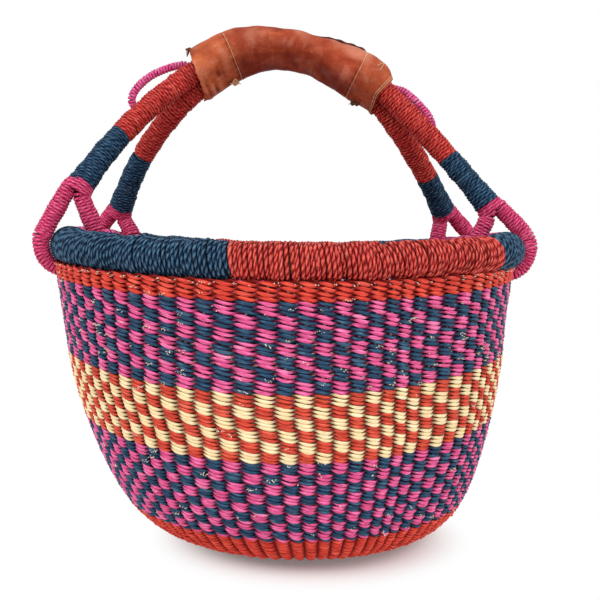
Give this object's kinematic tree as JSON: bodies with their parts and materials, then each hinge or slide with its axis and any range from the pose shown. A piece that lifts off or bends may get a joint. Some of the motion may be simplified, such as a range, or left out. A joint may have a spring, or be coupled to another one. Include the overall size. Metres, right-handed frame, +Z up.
{
  "type": "bolga basket",
  "caption": "Round straw market basket, twined in chequered colour bands, with a wrapped rim and a forked two-hoop handle under a leather grip.",
  "frame": {"origin": "middle of the flat underside, where the basket stands", "axes": "+Z up, X along the handle, -Y towards the front"},
  "size_m": [0.3958, 0.375, 0.4116],
  "materials": {
    "straw_orange": "matte",
    "straw_red": "matte",
    "straw_blue": "matte",
    "straw_pink": "matte",
    "check_pink_blue": "matte",
    "check_cream_red": "matte",
    "grass_core": "matte",
    "grip_leather": "satin"
  },
  "bodies": {
    "root": {"base_disc": "straw_orange", "foot_band": "straw_orange", "lower_check_band": "check_pink_blue", "cream_check_band": "check_cream_red", "upper_check_band": "check_pink_blue", "top_band": "straw_orange", "rim_core": "grass_core", "rim_wrap_front_blue": "straw_blue", "rim_wrap_front_red": "straw_red", "rim_wrap_right_blue": "straw_blue", "rim_wrap_right_pink": "straw_pink", "rim_wrap_back_right_blue": "straw_blue", "rim_wrap_back_red": "straw_red", "rim_wrap_back_left_blue": "straw_blue", "rim_wrap_left_pink": "straw_pink", "front_hoop_core": "grass_core", "back_hoop_core": "grass_core", "front_left_red_wrap": "straw_red", "front_left_blue_wrap": "straw_blue", "front_left_fork_wrap": "straw_pink", "front_left_outer_branch": "straw_pink", "front_left_inner_branch": "straw_pink", "front_right_red_wrap": "straw_red", "front_right_blue_wrap": "straw_blue", "front_right_fork_wrap": "straw_pink", "front_right_outer_branch": "straw_pink", "front_right_inner_branch": "straw_pink", "back_left_red_wrap": "straw_red", "back_left_blue_wrap": "straw_blue", "back_left_fork_wrap": "straw_pink", "back_left_outer_branch": "straw_pink", "back_left_inner_branch": "straw_pink", "back_right_red_wrap": "straw_red", "back_right_blue_wrap": "straw_blue", "back_right_fork_wrap": "straw_pink", "back_right_outer_branch": "straw_pink", "back_right_inner_branch": "straw_pink", "leather_grip": "grip_leather", "grip_binding": "grass_core", "left_loop_strand": "straw_pink", "right_loop_strand": "straw_pink"}
  },
  "joints": []
}
